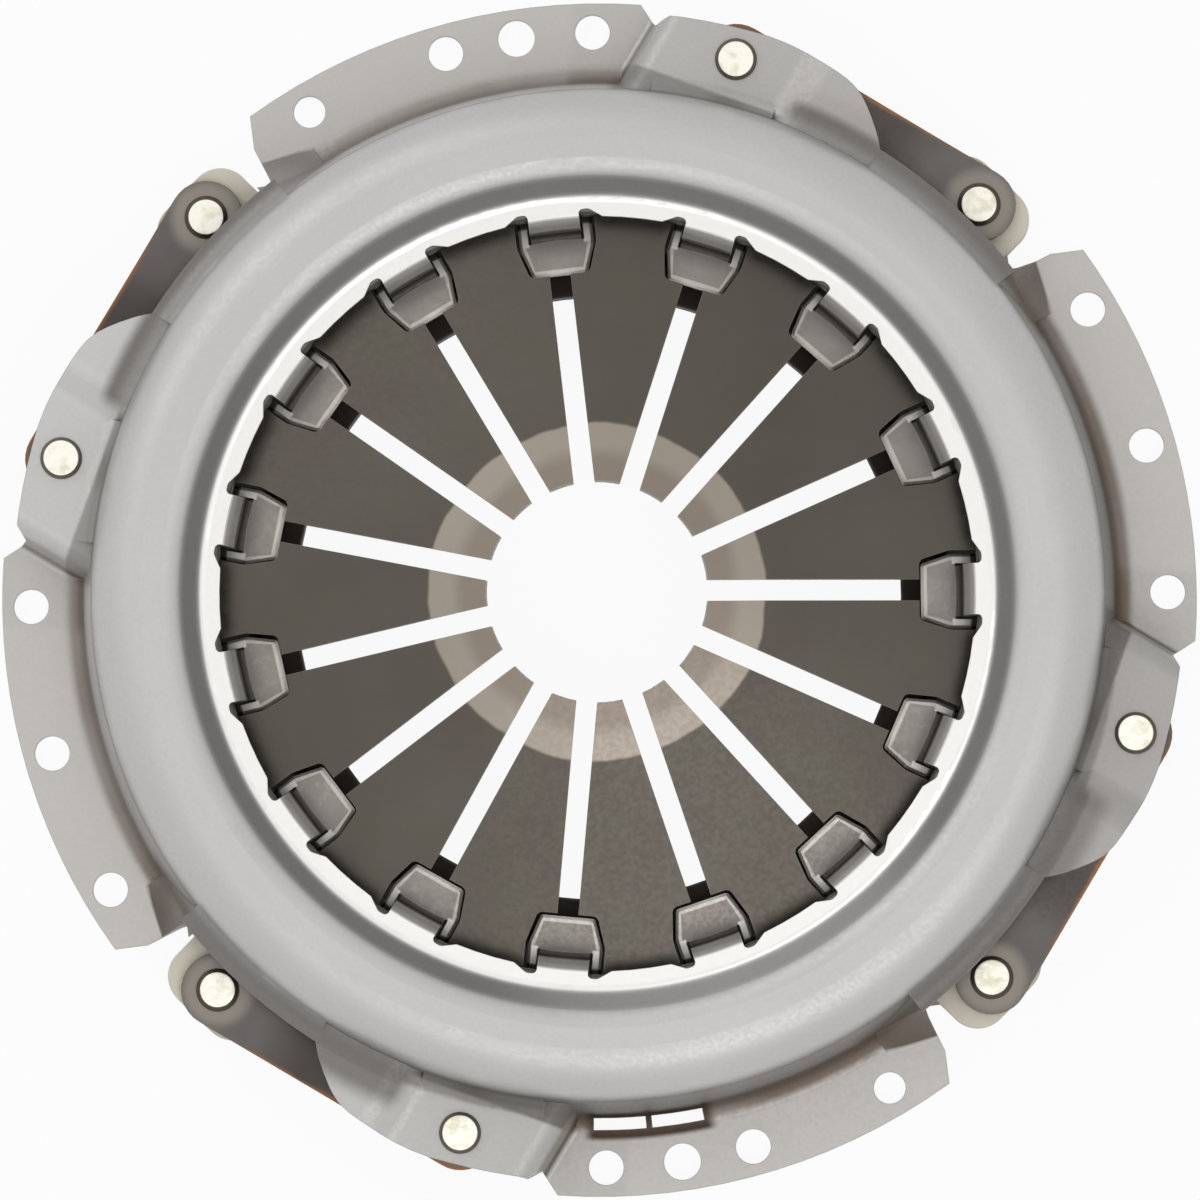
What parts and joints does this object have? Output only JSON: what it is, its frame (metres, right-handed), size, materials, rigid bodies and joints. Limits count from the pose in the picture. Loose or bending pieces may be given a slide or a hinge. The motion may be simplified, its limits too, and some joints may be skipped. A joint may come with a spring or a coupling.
{
  "type": "clutch pressure plate",
  "caption": "Push-type clutch cover with a diaphragm spring on pivot rings, a cast pressure plate on drive straps and a bolting flange for the flywheel.",
  "frame": {"origin": "centre of the flange's flywheel face", "axes": "+Z along the clutch axis from the flywheel to the transmission, +X just before the middle of a finger slot and the first hole of a flange segment, both 0.7 degrees further round"},
  "size_m": [0.309, 0.309, 0.0442],
  "materials": {
    "cover_steel": "pressed steel sheet, satin",
    "spring_steel": "heat-treated spring steel, dark oiled",
    "ring_wire": "drawn wire",
    "cast_iron": "grey iron, cast skin with machined faces",
    "strap_steel": "blued spring strip",
    "rivet_steel": "pale passivated steel"
  },
  "bodies": {
    "cover": {"cover": "cover_steel", "diaphragm_spring": "spring_steel", "upper_pivot_ring": "ring_wire", "lower_pivot_ring": "ring_wire", "pad_rivet_1": "rivet_steel", "pad_rivet_2": "rivet_steel", "pad_rivet_3": "rivet_steel", "pad_rivet_4": "rivet_steel", "strap_1_top_leaf": "strap_steel", "strap_1_middle_leaf": "strap_steel", "strap_1_bottom_leaf": "strap_steel", "strap_2_top_leaf": "strap_steel", "strap_2_middle_leaf": "strap_steel", "strap_2_bottom_leaf": "strap_steel", "strap_3_top_leaf": "strap_steel", "strap_3_middle_leaf": "strap_steel", "strap_3_bottom_leaf": "strap_steel", "strap_4_top_leaf": "strap_steel", "strap_4_middle_leaf": "strap_steel", "strap_4_bottom_leaf": "strap_steel"},
    "pressure_plate": {"pressure_plate": "cast_iron", "lug_rivet_1": "rivet_steel", "lug_rivet_2": "rivet_steel", "lug_rivet_3": "rivet_steel", "lug_rivet_4": "rivet_steel"}
  },
  "joints": [
    {"name": "plate_lift", "type": "slide", "parent": "cover", "child": "pressure_plate", "axis": [0, 0, 1], "range_m": [0, 0.0036], "stiffness_N_per_m": 20000, "deforming": ["diaphragm_spring", "strap_1_top_leaf", "strap_1_middle_leaf", "strap_1_bottom_leaf", "strap_2_top_leaf", "strap_2_middle_leaf", "strap_2_bottom_leaf", "strap_3_top_leaf", "strap_3_middle_leaf", "strap_3_bottom_leaf", "strap_4_top_leaf", "strap_4_middle_leaf", "strap_4_bottom_leaf"]}
  ]
}
